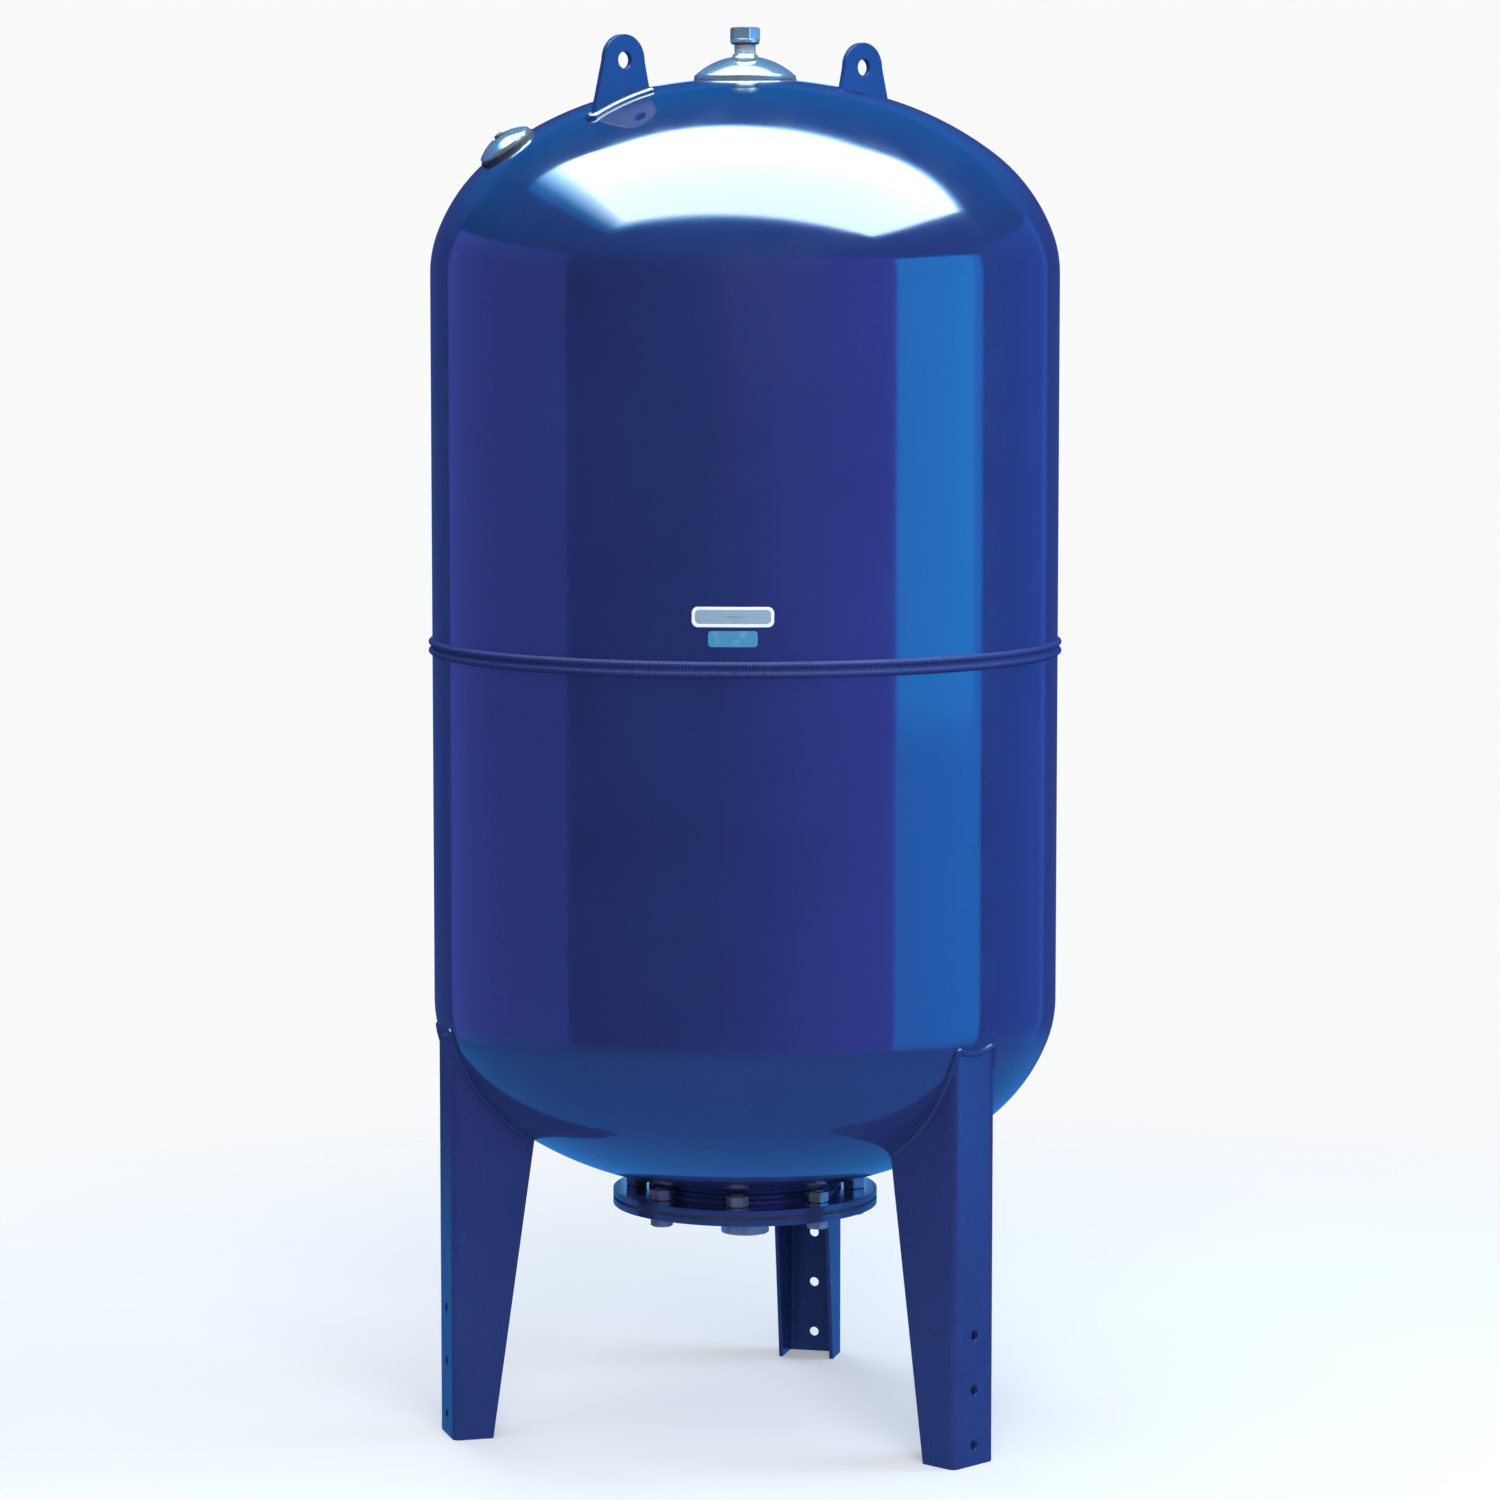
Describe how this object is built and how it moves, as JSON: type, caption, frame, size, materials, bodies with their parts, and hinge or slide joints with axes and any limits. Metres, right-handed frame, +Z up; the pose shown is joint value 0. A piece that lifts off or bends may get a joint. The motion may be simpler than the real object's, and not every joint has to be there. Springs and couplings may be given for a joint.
{
  "type": "expansion vessel",
  "caption": "Vertical membrane expansion vessel: welded steel shell on folded legs, flanged water connection below, lifting lugs, membrane hanger with vent plug, and air charging valve.",
  "frame": {"origin": "centre of the three legs' footprint, at floor level", "axes": "+Z up along the vessel's axis, +Y towards the rear leg, +X to the right when the badge faces the viewer"},
  "size_m": [0.759, 0.759, 1.677],
  "materials": {
    "blue_paint": "gloss",
    "chrome_plate": "polished",
    "zinc_steel": "satin",
    "valve_brass": "machined",
    "membrane_rubber": "matte",
    "black_rubber": "matte",
    "black_plastic": "moulded",
    "label_white": "gloss",
    "label_teal": "gloss"
  },
  "bodies": {
    "root": {"upper_shell": "blue_paint", "lower_shell": "blue_paint", "girth_weld": "blue_paint", "leg_rear": "blue_paint", "leg_left": "blue_paint", "leg_right": "blue_paint", "lifting_lug_left": "blue_paint", "lifting_lug_right": "blue_paint", "neck_tube": "blue_paint", "neck_flange": "blue_paint", "membrane": "membrane_rubber", "counter_flange": "blue_paint", "water_socket": "zinc_steel", "flange_bolts": "zinc_steel", "flange_washers": "zinc_steel", "flange_nuts": "zinc_steel", "top_boss": "blue_paint", "membrane_hanger": "zinc_steel", "hanger_washer": "zinc_steel", "hanger_nut": "zinc_steel", "top_cover": "chrome_plate", "top_cover_seal": "black_rubber", "valve_boss": "blue_paint", "valve_guard_seal": "black_rubber", "valve_guard": "chrome_plate", "valve_stem": "valve_brass", "valve_spring": "zinc_steel", "label_plate": "label_white", "label_bar": "label_teal"},
    "plug_seal": {"plug_seal": "black_rubber"},
    "vent_plug": {"vent_plug": "chrome_plate"},
    "valve_pin": {"valve_pin": "valve_brass"},
    "valve_cap_seal": {"valve_cap_seal": "black_rubber"},
    "valve_cap": {"valve_cap": "black_plastic"}
  },
  "joints": [
    {"name": "plug_lift", "type": "slide", "parent": "root", "child": "plug_seal", "axis": [0, 0, 1], "range_m": [0, 0.00907]},
    {"name": "plug_turn", "type": "hinge", "parent": "plug_seal", "child": "vent_plug", "pos_m": [0, 0, 1.66], "axis": [0, 0, 1], "range_deg": [0, 1801]},
    {"name": "cap_lift", "type": "slide", "parent": "root", "child": "valve_cap_seal", "axis": [-0.5084, -0.2935, 0.8096], "range_m": [0, 0.00635]},
    {"name": "cap_turn", "type": "hinge", "parent": "valve_cap_seal", "child": "valve_cap", "pos_m": [-0.25826, -0.14911, 1.54442], "axis": [-0.5084, -0.2935, 0.8096], "range_deg": [0, 2881]},
    {"name": "pin_press", "type": "slide", "parent": "root", "child": "valve_pin", "axis": [0.5084, 0.2935, -0.8096], "range_m": [0, 0.0018], "stiffness_N_per_m": 1500, "springref_m": -0.0015, "deforming": ["valve_spring"]}
  ],
  "couplings": [
    {"joint": "plug_turn", "follows": "plug_lift", "rad_per_m": 3463.7},
    {"joint": "cap_turn", "follows": "cap_lift", "rad_per_m": 7915.8}
  ]
}
